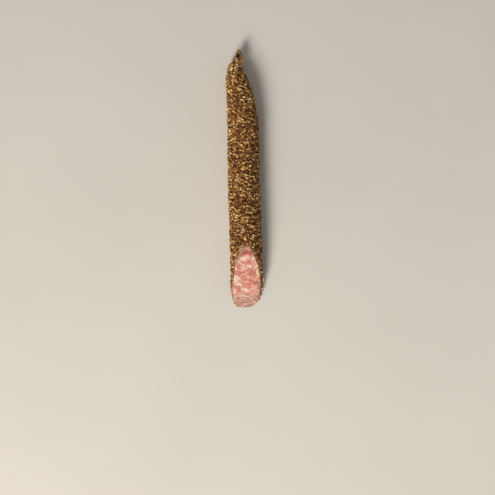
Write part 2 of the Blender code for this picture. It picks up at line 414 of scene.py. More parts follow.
@dataclass(frozen=True)
class MeatFinish:
    """The cut meat: rosy lean, cream fat, and a part near the foot that the knife smeared.

    The attributes dull, red, dark, blush, fat, smear and edge, from 0 to 1, say where those are.
    Grain is finer than fine, which is finer than mottle. The marble and the streaks are stretched
    along way, which is turned a little from the X axis. The spreads hold from where, to where and
    how strongly a colour sets in, and the swayed values how far noise moves its border.
    """

    name: str = "cured_meat"
    lean: Stops = (
        (0.34, (0.400, 0.105, 0.075)),
        (0.50, (0.580, 0.215, 0.155)),
        (0.66, (0.680, 0.350, 0.270)),
    )
    fat: Stops = (
        (0.30, (0.620, 0.380, 0.280)),
        (0.50, (0.720, 0.510, 0.400)),
        (0.72, (0.790, 0.655, 0.535)),
    )
    patches: tuple[tuple[Marking, float, Colour], ...] = (
        (Marking.DULL, 0.75, (0.300, 0.165, 0.125)),
        (Marking.RED, 0.80, (0.500, 0.095, 0.058)),
        (Marking.DARK, 0.85, (0.260, 0.045, 0.022)),
        (Marking.BLUSH, 0.75, (0.700, 0.420, 0.340)),
    )
    flecks: Colour = (0.700, 0.440, 0.350)
    smear: Stops = (
        (0.38, (0.390, 0.110, 0.086)),
        (0.46, (0.340, 0.165, 0.132)),
        (0.54, (0.450, 0.250, 0.205)),
        (0.62, (0.820, 0.650, 0.560)),
    )
    edge: Colour = (0.330, 0.182, 0.100)
    mottle_size: float = 0.0042
    fine_size: float = 0.0012
    grain_size: float = 0.0005
    marble_size: float = 0.0019
    streak_size: float = 0.0012
    marble_stretch: Vector = (0.5, 1.0, 1.0)
    streak_stretch: Vector = (0.28, 1.0, 1.0)
    way: float = 20.0
    lean_swayed: Pair = (0.6, 0.4)
    marble_swayed: float = 0.4
    flecks_from: Spread = (0.52, 0.66, 0.8)
    patch_swayed: float = 1.3
    patch_from: Pair = (0.28, 0.72)
    fat_swayed: Pair = (1.4, 0.8)
    fat_from: Spread = (0.34, 0.62, 0.95)
    streaks_swayed: float = 0.12
    dulled: float = -0.04
    smeared: float = 0.75
    edge_swayed: float = 0.5
    edge_from: Spread = (0.2, 0.9, 0.8)
    roughness: float = 0.45
    specular: float = 0.4
    glow: float = 0.1
    glow_depth: float = 0.0012
    streak_height: float = 0.6
    bump: float = 0.00012

    def material(self) -> bpy.types.Material:
        """The finish as a material: lean, flecks, patches, fat, the smeared foot and the edge."""
        nodes = Nodes(self.name, self.roughness, self.specular)
        mottle, fine = nodes.noise(self.mottle_size, detail=4.0), nodes.noise(self.fine_size)
        grain = nodes.noise(self.grain_size, detail=2.0)
        way = (0.0, 0.0, math.radians(self.way))
        marble = nodes.noise(self.marble_size, place=nodes.stretched(self.marble_stretch, way))
        streaks = nodes.noise(self.streak_size, place=nodes.stretched(self.streak_stretch, way))
        lean = nodes.sway(mottle, fine, self.lean_swayed[0])
        lean = nodes.sway(lean, grain, self.lean_swayed[1])
        flecks = nodes.spread(nodes.sway(marble, fine, self.marble_swayed), *self.flecks_from)
        colour = nodes.mix(flecks, nodes.ramp(lean, self.lean), self.flecks)
        for marking, strength, paint in self.patches:
            ragged = nodes.sway(nodes.attribute(marking.value), marble, self.patch_swayed)
            ragged = nodes.sway(ragged, fine, self.patch_swayed)
            patch = nodes.spread(ragged, *self.patch_from, strength)
            colour = nodes.mix(patch, colour, paint)
        ragged = nodes.sway(nodes.attribute(Marking.FAT.value), fine, self.fat_swayed[0])
        ragged = nodes.sway(ragged, grain, self.fat_swayed[1])
        fat = nodes.ramp(nodes.sway(marble, grain, self.marble_swayed), self.fat)
        colour = nodes.mix(nodes.spread(ragged, *self.fat_from), colour, fat)
        streaky = nodes.sway(streaks, grain, self.streaks_swayed)
        dull = nodes.attribute(Marking.DULL.value)
        streaky = nodes.sums("MULTIPLY_ADD", dull, self.dulled, streaky)
        smeared = nodes.sums("MULTIPLY", nodes.attribute("smear"), self.smeared)
        colour = nodes.mix(smeared, colour, nodes.ramp(streaky, self.smear))
        frayed = nodes.sway(nodes.attribute("edge"), fine, self.edge_swayed)
        colour = nodes.mix(nodes.spread(frayed, *self.edge_from), colour, self.edge)
        nodes.shader.inputs["Subsurface Weight"].default_value = self.glow
        nodes.shader.inputs["Subsurface Scale"].default_value = self.glow_depth
        height = nodes.sums("MULTIPLY_ADD", streaks, self.streak_height, fine)
        return nodes.finish(colour, height, self.bump)


@dataclass(frozen=True)
class CasingFinish:
    """The bare, dried casing of the twisted neck.

    The attribute hollow darkens its folds, the hole and the grooves between the pleats, with
    painted shade, and ridge makes its high ridge pale with a painted highlight.
    """

    name: str = "dried_casing"
    tans: Stops = (
        (0.3, (0.215, 0.095, 0.018)),
        (0.5, (0.360, 0.182, 0.042)),
        (0.75, (0.530, 0.312, 0.088)),
    )
    # Painted shade: the near-black colour put in the hole and the grooves between the pleats.
    fold_shade: Colour = (0.050, 0.018, 0.004)
    # Painted highlight: the pale colour of the high ridge.
    ridge_highlight: Colour = (0.680, 0.440, 0.190)
    stain: float = 0.0024
    fibre: float = 0.0005
    folds_swayed: float = 0.3
    folds_from: Spread = (0.1, 0.6, 1.0)
    highlight_swayed: float = 0.4
    highlight_from: Spread = (0.2, 0.7, 0.85)
    roughness: float = 0.45
    specular: float = 0.5
    bump: float = 0.0001

    def material(self) -> bpy.types.Material:
        """The finish as a material."""
        nodes = Nodes(self.name, self.roughness, self.specular)
        stains, fibres = nodes.noise(self.stain), nodes.noise(self.fibre)
        # Painted shade: the hollow mask darkens the hole and the pleat grooves.
        painted_shade = nodes.sway(nodes.attribute("hollow"), fibres, self.folds_swayed)
        # Painted highlight: the ridge mask makes the high ridge pale.
        ridge_highlight = nodes.sway(nodes.attribute("ridge"), fibres, self.highlight_swayed)
        tan = nodes.ramp(stains, self.tans)
        colour = nodes.mix(nodes.spread(ridge_highlight, *self.highlight_from), tan, self.ridge_highlight)
        colour = nodes.mix(nodes.spread(painted_shade, *self.folds_from), colour, self.fold_shade)
        return nodes.finish(colour, fibres, self.bump)


@dataclass(frozen=True)
class FloorFinish:
    """A plain pale table top."""

    name: str = "pale_floor"
    colours: Stops = (
        (0.3, (0.76, 0.745, 0.72)),
        (0.7, (0.80, 0.785, 0.76)),
    )
    cloud: float = 0.2
    grain: float = 0.01
    roughness: float = 0.85
    specular: float = 0.2
    bump: float = 0.00001

    def material(self) -> bpy.types.Material:
        """The finish as a material."""
        nodes = Nodes(self.name, self.roughness, self.specular)
        colour = nodes.ramp(nodes.noise(self.cloud), self.colours)
        return nodes.finish(colour, nodes.noise(self.grain), self.bump)


class Skin:
    """A surface with a place for each distance t and each angle."""

    def place(self, t: Array, angle: Array) -> Array:
        """The points of the surface at t and angle."""
        raise NotImplementedError

    def girth(self, t: Array) -> Array:
        """Roughly the distance round the surface at t."""
        raise NotImplementedError

    def outward(self, t: Array, angle: Array) -> Array:
        """Directions out of the surface: the cross product of small steps round and along it."""
        along = self.place(t + STEP_ALONG, angle) - self.place(t - STEP_ALONG, angle)
        around = self.place(t, angle + STEP_ROUND) - self.place(t, angle - STEP_ROUND)
        normal = np.cross(around, along)
        return normal / np.maximum(np.linalg.norm(normal, axis=-1, keepdims=True), TINY)

    def under(self, t: Array, angle: Array, depth: Array) -> Array:
        """The points this deep under the surface, and never under the table."""
        points = self.place(t, angle) - self.outward(t, angle) * np.asarray(depth)[..., None]
        points[..., 2] = np.maximum(points[..., 2], 0.0)
        return points


@dataclass(frozen=True)
class StickForm(Skin):
    """The body of the stick, as thick as the middle of its pepper coat.

    widest_at is the height of the widest line, as a share of the height, and squareness says how
    much squarer than an ellipse the stick is under it. A name that ends in run is the distance
    over which that form runs along the stick. The underside dips by sunk under the table, which
    flattens it. Each wave has its share, its radians per metre and per radian of angle, and a
    start.
    """

    length: float = 0.2674
    width: float = 0.0314
    height: float = 0.0284
    widest_at: float = 0.36
    squareness: float = 0.6
    taper: float = 0.037
    bow: float = 0.0032
    bow_starts: float = 0.110
    bow_run: float = 0.130
    lean: float = 0.0104
    lean_run: float = 0.046
    end_lift: float = 0.009
    lift_run: float = 0.060
    middle_x: float = -0.0010
    underside_shift: float = -0.0022
    shoulder_at: float = 0.0115
    shoulder_run: float = 0.005
    wave_depth: float = 0.014
    waves: tuple[tuple[float, float, float, float], ...] = (
        (0.6, 134.0, 2.0, 0.0),
        (0.4, 217.0, -1.0, 1.3),
    )
    sunk: float = 0.00035

    def fullness(self, t: Array) -> Array:
        """How full the body is: tanh(t / taper), times the quarter circle of the shoulder."""
        shoulder = np.clip((t - self.shoulder_at) / self.shoulder_run, 0.0, 1.0)
        return np.tanh(t / self.taper) * np.sqrt(1.0 - (1.0 - shoulder) ** 2)

    def middle(self, t: Array) -> Array:
        """Sideways place of the middle: an S-curve for the bow, less a bell curve at the tip."""
        bow = self.bow * smooth_step((t - self.bow_starts) / self.bow_run)
        return self.middle_x + bow - self.lean * np.exp(-((t / self.lean_run) ** 2))

    def wave(self, t: Array, angle: Array) -> Array:
        """A factor near 1 that makes the body wavy: 1 plus a sum of sines along and round it."""
        waves = (
            share * np.sin(along * t + around * angle + start)
            for share, along, around, start in self.waves
        )
        return 1.0 + self.wave_depth * sum(waves)

    def place(self, t: Array, angle: Array) -> Array:
        """Half an ellipse over the widest line, and a squarer superellipse under it.

        Args:
            t: Distances from the tip.
            angle: Angles round the stick.

        Returns:
            The points, with x, y and z in a last axis.
        """
        full = self.fullness(t)
        across, up = np.cos(angle), np.sin(angle)
        power = np.where(up < 0.0, 2.0 / (2.0 + self.squareness * full), 1.0)
        side = np.sign(across) * np.abs(across) ** power
        low = self.widest_at * (1.0 - np.abs(up) ** power)
        wave = self.wave(t, angle)
        high = self.widest_at + (1.0 - self.widest_at) * up * wave
        underside = self.end_lift * np.clip(1.0 - t / self.lift_run, 0.0, 1.0) ** 2 - self.sunk
        sag = self.underside_shift * full * np.where(up < 0.0, 1.0 - low / self.widest_at, 0.0) ** 2
        x = self.middle(t) + sag + side * wave * full * self.width / 2
        z = underside + full * (self.height + self.sunk) * np.where(up < 0.0, low, high)
        y = np.broadcast_to(self.length / 2 - t, x.shape)
        return np.stack([x, y, z], axis=-1)

    def girth(self, t: Array) -> Array:
        """Roughly the distance round the stick at t."""
        return math.pi * self.fullness(t) * (self.width + self.height) / 2


@dataclass(frozen=True)
class NeckForm(Skin):
    """The twisted neck of casing: a blunt, pleated tip with a hole where the twist gathers.

    The radius grows over run. offset and height are where the neck's middle lies at the tip and at
    root_at. The pleats turn by twist radians per metre, and the finer creases by crease_twist
    times as much. hole_at and ridge_at are a t and an angle, and so are their reaches. The ridge
    turns by ridge_turn radians per metre.
    """

    length: float = 0.2674
    run: float = 0.0125
    radius: float = 0.0051
    root_at: float = 0.022
    middle_x: float = -0.0010
    offset: Pair = (-0.0044, -0.0068)
    height: Pair = (0.0118, 0.0112)
    pleats: int = 5
    pleat_depth: float = 0.13
    twist: float = 260.0
    creases: int = 13
    crease_depth: float = 0.03
    crease_twist: float = 1.7
    hole_at: Pair = (0.0070, 1.72)
    hole_reach: Pair = (0.0026, 0.70)
    hole_depth: float = 0.55
    ridge_at: Pair = (0.0110, 1.98)
    ridge_reach: Pair = (0.0040, 0.24)
    ridge_turn: float = -130.0
    ridge_height: float = 0.09

    def hollow(self, t: Array, angle: Array) -> Array:
        """How deep the hole is: a bell curve round its middle, 1 at the deepest."""
        along = (t - self.hole_at[0]) / self.hole_reach[0]
        round_it = (angle - self.hole_at[1]) / self.hole_reach[1]
        return np.exp(-(along**2) - round_it**2)

    def ridge(self, t: Array, angle: Array) -> Array:
        """How high the ridge under the hole is: a bell curve round a line that turns with t."""
        along = t - self.ridge_at[0]
        aside = (angle - self.ridge_at[1] - self.ridge_turn * along) / self.ridge_reach[1]
        return np.exp(-((along / self.ridge_reach[0]) ** 4) - aside**2)

    def place(self, t: Array, angle: Array) -> Array:
        """A radius that grows as the root of t, times twisted pleats and a ridge, less the hole.

        Args:
            t: Distances from the tip.
            angle: Angles round the neck.

        Returns:
            The points, with x, y and z in a last axis.
        """
        share = t / self.root_at
        pleat = np.cos(self.pleats * angle + self.twist * t)
        crease = np.cos(self.creases * angle + self.crease_twist * self.twist * t)
        radius = self.radius * np.sqrt(np.clip(t / self.run, 0.0, 1.0))
        radius = radius * (1.0 + self.pleat_depth * pleat + self.crease_depth * crease)
        radius = radius * (1.0 + self.ridge_height * self.ridge(t, angle))
        radius = radius * (1.0 - self.hole_depth * self.hollow(t, angle))
        x = self.middle_x + self.offset[0] + (self.offset[1] - self.offset[0]) * share
        z = self.height[0] + (self.height[1] - self.height[0]) * share
        y = np.broadcast_to(self.length / 2 - t, radius.shape)
        return np.stack([x + radius * np.cos(angle), y, z + radius * np.sin(angle)], axis=-1)

    def girth(self, t: Array) -> Array:
        """Roughly the distance round the neck at t."""
        return 2.0 * math.pi * self.radius * np.sqrt(np.clip(t / self.run, 0.0, 1.0))


@dataclass(frozen=True)
class SlantedCut:
    """The knife's plane, which rises from the foot, at Z = 0, towards +Y.

    reach is the least and the most t at which a surface can meet it.
    """

    foot: float = -0.1337
    run: float = 0.0665
    rise: float = 0.0284
    reach: Pair = (0.15, 0.29)
    halvings: int = 40

    @property
    def slope(self) -> float:
        """The plane's angle to the table."""
        return math.atan2(self.rise, self.run)

    @property
    def normal(self) -> Array:
        """The direction out of the cut."""
        return np.array([0.0, -math.sin(self.slope), math.cos(self.slope)])

    def above(self, points: Array) -> Array:
        """How far points lie on the knife's side of the plane."""
        return (points - (0.0, self.foot, 0.0)) @ self.normal

    def up_face(self, points: Array) -> Array:
        """How far up the slope from the foot points lie."""
        along = points[..., 1] - self.foot
        return along * math.cos(self.slope) + points[..., 2] * math.sin(self.slope)

    def trim(self, points: Array) -> Array:
        """Points with those past the plane moved straight back onto it."""
        return points - np.maximum(self.above(points), 0.0)[..., None] * self.normal

    def meets(self, skin: Skin, angle: Array, depth: Array) -> Array:
        """Where a surface meets the plane, by halving the range of t again and again.

        Args:
            skin: The surface.
            angle: Angles round it.
            depth: How deep under the surface, for each angle.

        Returns:
            The distance t for each angle.
        """
        low, high = (np.full(angle.shape, end) for end in self.reach)
        for _ in range(self.halvings):
            middle = (low + high) / 2
            past = self.above(skin.under(middle, angle, depth)) > 0.0
            low, high = np.where(past, low, middle), np.where(past, middle, high)
        return (low + high) / 2


@dataclass(frozen=True)
class Patch:
    """One patch of the marbling: its place and half sizes on the cut in mm, and its turn."""

    across: float
    up: float
    half_length: float
    half_width: float
    turn: float = 0.0

    def share(self, across: Array, up: Array) -> Array:
        """1 in an ellipse's middle, a half on its edge, and 0 beyond it, in an S-curve."""
        turn = math.radians(self.turn)
        aside = across - self.across / 1000
        above = up - self.up / 1000
        along = (aside * math.cos(turn) + above * math.sin(turn)) * 1000 / self.half_length
        over = (above * math.cos(turn) - aside * math.sin(turn)) * 1000 / self.half_width
        return smooth_step(1.0 - (along**2 + over**2) / 2.0)


@dataclass(frozen=True)
class Meat:
    """The sausage meat inside its coat, with the slanted cut as its face.

    coat is how thick the coat is underneath, at the sides and on top. thickens and thins hold
    from which sine of the angle, and over how much of it, it does so. It swells by up to swell
    round the angle swell_at. Noise makes the coat uneven and its border with the meat ragged,
    less so underneath and, by calm_on_top, on top. The wall runs from starts_at to the cut, and
    sinks away from the coat behind it. The face's relief is lifted by fat and by waves of noise.
    Its dark border is rim_width wide, as a share of the way to the middle. It widens from
    widens_from up the face, but less by right_narrows on the right. The apex is dull from
    apex_dull_from up the face, and the foot is smeared up to smear_to. marbling holds the numbers
    of each marking's patches, whose edges wander.
    """

    form: StickForm = StickForm()
    cut: SlantedCut = SlantedCut()
    coat: tuple[float, float, float] = (0.0005, 0.0016, 0.0007)
    thickens: Pair = (-0.95, 0.8)
    thins: Pair = (0.88, 0.12)
    swell: float = 0.00065
    swell_at: float = 2.2
    swell_reach: float = 0.42
    uneven: float = 0.3
    uneven_size: float = 0.11
    ragged: float = 0.0004
    ragged_size: float = 0.16
    ragged_from: float = -0.8
    calm_on_top: float = 0.6
    noise_layers: int = 4
    columns: int = 400
    wall_rows: int = 24
    wall_crowding: int = 3
    wall_sinks: float = 0.0016
    sinks_over: float = 0.004
    starts_at: float = 0.024
    face_rows: int = 100
    relief: float = 0.00010
    fat_lift: float = 0.6
    wave_lift: float = 0.5
    wave_size: float = 0.004
    rim_sinks_over: float = 0.03
    rim_width: float = 0.10
    widens_from: float = 0.044
    widens_over: float = 0.016
    right_narrows: float = 0.7
    right_over: float = 0.006
    apex_dull_from: float = 0.0660
    apex_dull_over: float = 0.005
    smear_to: float = 0.0195
    smear_over: float = 0.008
    wander: float = 0.0019
    wander_size: float = 0.0034
    marbling: tuple[tuple[Marking, tuple[tuple[float, ...], ...]], ...] = (
        (Marking.FAT, (
            (-0.1, 57.0, 4.5, 2.4, 24), (9.3, 57.6, 2.8, 1.6, 67), (-8.2, 45.6, 2.7, 1.1, 90),
            (5.2, 48.0, 2.3, 2.2, -32), (11.4, 48.5, 2.7, 1.6, 42), (14.0, 41.0, 5.4, 1.6, 88),
            (-7.5, 35.1, 3.7, 2.2, -16), (-9.0, 32.2, 3.2, 2.6, 62), (-6.1, 27.5, 3.8, 2.2, -13),
            (-10.2, 19.8, 3.8, 1.8, -67), (1.5, 20.2, 4.0, 1.8, -30),
        )),
        (Marking.BLUSH, (
            (-5.7, 52.3, 2.0, 1.5, 62), (-1.4, 46.5, 3.7, 1.2, 90), (1.6, 45.2, 1.8, 1.6),
            (0.3, 39.6, 3.1, 1.2, 0), (3.5, 35.7, 2.5, 1.4, 0), (2.1, 30.1, 2.7, 1.1, -11),
            (9.8, 23.2, 3.4, 1.4, 26), (-0.5, 12.1, 3.3, 0.8, -9), (2.0, 7.5, 4.1, 0.9, 9),
        )),
        (Marking.RED, (
            (1.8, 61.8, 3.4, 1.6, 10), (5.4, 61.4, 2.0, 1.8, 0), (3.4, 52.9, 2.3, 1.2, 62),
            (-1.6, 52.6, 3.6, 1.2, -12), (-5.5, 47.5, 1.4, 2.7, -22), (-2.2, 41.2, 3.5, 1.5, -11),
            (7.3, 40.7, 2.8, 1.7, 32), (-0.4, 32.5, 2.3, 1.8, 0), (6.6, 31.9, 2.1, 1.8, 22),
            (4.0, 27.6, 2.9, 1.9, -12), (11.4, 29.5, 2.3, 1.3, 22), (-6.1, 20.9, 2.1, 2.9, -22),
            (0.1, 9.6, 3.5, 1.0, -9),
        )),
        (Marking.DARK, (
            (0.2, 63.8, 4.8, 2.4, 20), (-3.0, 61.8, 2.6, 1.9, 10), (6.2, 63.2, 1.8, 2.2, 0),
            (10.8, 28.6, 2.0, 1.3, 22),
        )),
        (Marking.DULL, (
            (-6.3, 58.0, 1.9, 4.6, 12), (7.8, 62.2, 1.3, 3.3, 22), (12.0, 43.7, 2.1, 1.4, 22),
            (-9.8, 25.3, 2.1, 1.3, -22), (-3.4, 6.2, 5.6, 2.4, 9), (14.0, 15.0, 1.2, 4.6, -22),
            (13.8, 25.5, 1.3, 4.6, 6), (10.0, 8.0, 3.4, 1.3, 25),
        )),
    )

    def thickness(self, angle: Array) -> Array:
        """How thick the coat is: S-curves of the angle's sine between under, side and top, plus a
        bell curve of the angle where it swells.
        """
        under, side, top = self.coat
        thicker = smooth_step((np.sin(angle) - self.thickens[0]) / self.thickens[1])
        thinner = smooth_step((np.sin(angle) - self.thins[0]) / self.thins[1])
        bell = self.swell * np.exp(-(((angle - self.swell_at) / self.swell_reach) ** 2))
        return under + (side - under) * thicker - (side - top) * thinner + bell

    def rim_depth(self, angle: Array) -> Array:
        """How deep the meat's rim lies: the coat's thickness times one noise, plus another.

        Args:
            angle: Angles round the stick.

        Returns:
            The depth under the form at each angle.
        """
        ring = np.stack([np.cos(angle), np.sin(angle), np.zeros_like(angle)], axis=-1)
        uneven = 1.0 + self.uneven * lattice_noise(ring, self.uneven_size, Seed.COAT)
        raised = smooth_step(np.sin(angle) - self.ragged_from)
        raised = raised * (1.0 - self.calm_on_top * smooth_step(np.sin(angle)))
        ragged = layered_noise(ring, self.ragged_size, Seed.RAGGED, self.noise_layers)
        return self.thickness(angle) * uneven + self.ragged * raised * ragged

    def wall(self, angle: Array) -> Array:
        """Rows of points along the meat's side, up to its rim on the cut, closer together there.

        Args:
            angle: Angles round the stick.

        Returns:
            The points, with x, y and z in a last axis.
        """
        depth = self.rim_depth(angle)
        rim_t = self.cut.meets(self.form, angle, depth)
        share = np.linspace(1.0, 0.0, self.wall_rows)[:, None] ** self.wall_crowding
        back = (rim_t - self.starts_at) * share
        depth = depth + self.wall_sinks * smooth_step(back / self.sinks_over)
        return self.form.under(rim_t - back, angle[None, :], depth)

    def shares(self, across: Array, up: Array) -> dict[Marking, Array]:
        """How far each place belongs to each marking: the strongest patch of its kind there.

        Args:
            across: X of each place.
            up: Distance up the face of each place.

        Returns:
            For each marking, 0 to 1 for each place, with soft, wandering edges.
        """
        flat = np.stack([across, up, np.zeros_like(across)], axis=-1)
        size, layers = self.wander_size, self.noise_layers
        across = across + self.wander * layered_noise(flat, size, Seed.MARBLING_ACROSS, layers)
        up = up + self.wander * layered_noise(flat, size, Seed.MARBLING_UP, layers)
        rows = dict(self.marbling)
        return {
            marking: np.max([Patch(*row).share(across, up) for row in rows[marking]], axis=0)
            for marking in Marking
        }

    def lift(self, face: Array, closing: Array, fat: Array) -> Array:
        """How far the face stands out: its fat and waves of noise, less an S-curve at the rim.

        Args:
            face: The face's points while it is flat.
            closing: 1 at the rim and 0 in the middle, for each ring.
            fat: How much each point is fat.

        Returns:
            One height for each point.
        """
        waves = layered_noise(face, self.wave_size, Seed.FACE)
        sunk = self.relief * (1.0 - smooth_step((1.0 - closing) / self.rim_sinks_over))
        return self.relief * (self.fat_lift * fat + self.wave_lift * waves) - sunk

    def edge(self, across: Array, up: Array, closing: Array) -> Array:
        """How much each place is dark edge: a power of its nearness to the rim, or the dull apex.

        Args:
            across: X of each place.
            up: Distance up the face of each place.
            closing: 1 at the rim and 0 in the middle, for each ring.

        Returns:
            0 to 1 for each place.
        """
        upper = smooth_step((up - self.widens_from) / self.widens_over)
        upper = upper * (1.0 - self.right_narrows * smooth_step(across / self.right_over))
        width = self.rim_width * (1.0 + upper)
        strip = np.clip((closing - 1.0) / width + 1.0, 0.0, 1.0) ** (2.0 - upper)
        apex = smooth_step((up - self.apex_dull_from) / self.apex_dull_over)
        return np.maximum(strip, apex)

    def build(self) -> bpy.types.Object:
        """The meat: a wall that runs to the cut, then rings that close on the face's middle.

        Returns:
            The dressed piece.
        """
        wall = self.wall(full_turn(self.columns))
        rim = wall[-1]
        tail, centre = wall[0].mean(axis=0), rim.mean(axis=0)
        closing = np.linspace(1.0, 0.0, self.face_rows + 1)[1:-1, None]
        face = centre + (rim - centre) * closing[..., None]
        across, up = face[..., 0], self.cut.up_face(face)
        shares = self.shares(across, up)
        lift = self.lift(face, closing, shares[Marking.FAT])
        face = face + lift[..., None] * self.cut.normal
        piece = ringed_object("cut_meat", tail, np.concatenate([wall, face]), centre)
        for marking, values in shares.items():
            self.mark(piece, marking.value, values, 0.0)
        self.mark(piece, "edge", self.edge(across, up, closing), 1.0)
        self.mark(piece, "smear", smooth_step((self.smear_to - up) / self.smear_over), 0.0)
        piece.data.materials.append(MeatFinish().material())
        return piece

    def mark(self, piece: bpy.types.Object, name: str, face: Array, elsewhere: float) -> None:
        """Stores values of the face's rings, its middle taking the last ring's mean."""
        wall = np.full(1 + self.wall_rows * self.columns, elsewhere)
        values = np.concatenate([wall, face.ravel(), [face[-1].mean()]])
        give_values(piece, name, values, Domain.POINT)


@dataclass(frozen=True)
class Crust:
    """The layer of fine crushed pepper that the larger pieces sit in, and its section.

    Its inside lies overlap times as deep as the coat is thick, and spare more, so that it reaches
    behind the meat's rim. crowded is the part of the rows' way that goes by the power crowding,
    which draws them together at the shoulder. The relief fades over calm_over before the cut. The
    section lies recess behind the cut, and sinks to that over 1 / recess_rate of its width.
    """

    meat: Meat = Meat()
    columns: int = 260
    outer_rows: int = 360
    band_rows: int = 5
    inner_rows: int = 6
    sunk: float = 0.00045
    relief: float = 0.00040
    lump: float = 0.0016
    recess: float = 0.00012
    recess_rate: float = 6.0
    overlap: float = 1.3
    spare: float = 0.0003
    start_gap: float = 0.00002
    crowded: float = 0.25
    crowding: float = 2.4
    calm_over: float = 0.001

    def build(self) -> bpy.types.Object:
        """The outside from the shoulder to the cut, the section, and a wall behind the meat.

        Returns:
            The dressed piece.
        """
        form, cut = self.meat.form, self.meat.cut
        angle = full_turn(self.columns)
        depth = np.full_like(angle, self.sunk)
        inside = self.meat.thickness(angle) * self.overlap + self.meat.ragged + self.spare
        rim = cut.meets(form, angle, depth)
        share = np.linspace(0.0, 1.0, self.outer_rows)[:, None]
        share = self.crowded * share**self.crowding + (1.0 - self.crowded) * share
        start = form.shoulder_at + self.start_gap
        t = start + (rim - start) * share
        rough = layered_noise(form.place(t, angle[None, :]), self.lump, Seed.CRUST)
        fade = smooth_step((rim - t) / self.calm_over)
        outer = form.under(t, angle[None, :], self.sunk + self.relief * rough * fade)
        inner_rim = form.under(cut.meets(form, angle, inside), angle, inside)
        across = np.linspace(0.0, 1.0, self.band_rows + 1)[1:, None, None]
        band = outer[-1] + (inner_rim - outer[-1]) * across
        band = band - self.recess * smooth_step(across * self.recess_rate) * cut.normal
        back = np.linspace(0.0, 1.0, self.inner_rows + 1)[1:, None]
        wall_t = cut.meets(form, angle, inside) * (1.0 - back) + self.meat.starts_at * back
        wall = form.under(wall_t, angle[None, :], inside[None, :])
        tip, root = outer[0].mean(axis=0), wall[-1].mean(axis=0)
        piece = ringed_object("crushed_pepper", tip, np.concatenate([outer, band, wall]), root)
        layer = np.concatenate([np.zeros(len(outer)), across[:, 0, 0], np.ones(len(wall))])
        values = np.concatenate([[0.0], np.repeat(layer, self.columns), [1.0]])
        give_values(piece, "layer", values, Domain.POINT)
        piece.data.materials.append(CrustFinish().material())
        return piece


@dataclass(frozen=True)
class Neck:
    """The bare casing of the twisted end.

    The painted shade in the grooves between the pleats is groove times as dark as the painted shade
    in the hole, and the grooves start where the pleats' cosine is under groove_from.
    """

    form: NeckForm = NeckForm()
    columns: int = 120
    rows: int = 90
    first_ring: float = 0.01
    crowding: float = 1.6
    groove_shade: float = 0.45
    groove_from: float = -0.4
    groove_run: float = 0.6
    tip_shade: float = 0.1

    def build(self) -> bpy.types.Object:
        """Rings from the tip, closer together there, to the root inside the body.

        Returns:
            The dressed piece.
        """
        angle = full_turn(self.columns)[None, :]
        share = np.linspace(self.first_ring, 1.0, self.rows)[:, None] ** self.crowding
        t = self.form.root_at * share
        rings = self.form.place(t, angle)
        tip, root = rings[0].mean(axis=0), rings[-1].mean(axis=0)
        piece = ringed_object("twisted_casing", tip, rings, root)
        # Painted shade: the grooves between the pleats and the hole make the hollow mask, which the
        # casing darkens.
        pleat = np.cos(self.form.pleats * angle + self.form.twist * t)
        groove_shade = self.groove_shade * smooth_step((self.groove_from - pleat) / self.groove_run)
        hollow = np.maximum(self.form.hollow(t, angle), groove_shade)
        values = np.concatenate([[self.tip_shade], hollow.ravel(), [0.0]])
        give_values(piece, "hollow", np.clip(values, 0.0, 1.0), Domain.POINT)
        # Painted highlight: the ridge mask, which the casing paints pale.
        ridge = np.concatenate([[0.0], self.form.ridge(t, angle).ravel(), [0.0]])
        give_values(piece, "ridge", ridge, Domain.POINT)
        piece.data.materials.append(CasingFinish().material())
        return piece


@dataclass(frozen=True)
class PepperKind:
    """One kind of pepper piece, and how closely it is strewn.

    Sizes and spacing are in metres. Each pair holds the least and the most of what it names:
    flatness is a piece's thickness and length its length, both as shares of its size, broken is
    how far from its middle its flat breaks lie, as a share of its radius, sunk is how far its
    middle lies under the coat's middle, as a share of its size, and tone is how pale it is. pale is
    the share of pale pieces, mealy the share of pieces that the knife leaves pale, bare is whether
    the pieces have no skin, margin is how near the cut a middle may lie, as a share of size, and
    proud is how far a piece may stand out, in metres.
    """

    name: str
    sizes: Pair
    spacing: float
    segments: int
    rings: int
    flatness: Pair = (0.55, 0.9)
    length: Pair = (1.25, 2.0)
    breaks: int = 2
    broken: Pair = (0.1, 0.75)
    sunk: Pair = (-0.10, 0.14)
    tilt: float = 0.5
    tone: Pair = (0.0, 1.0)
    pale: float = 0.5
    mealy: float = 0.4
    bare: bool = False
    margin: float = 0.12
    proud: float = 0.00145
    seed: int = 1


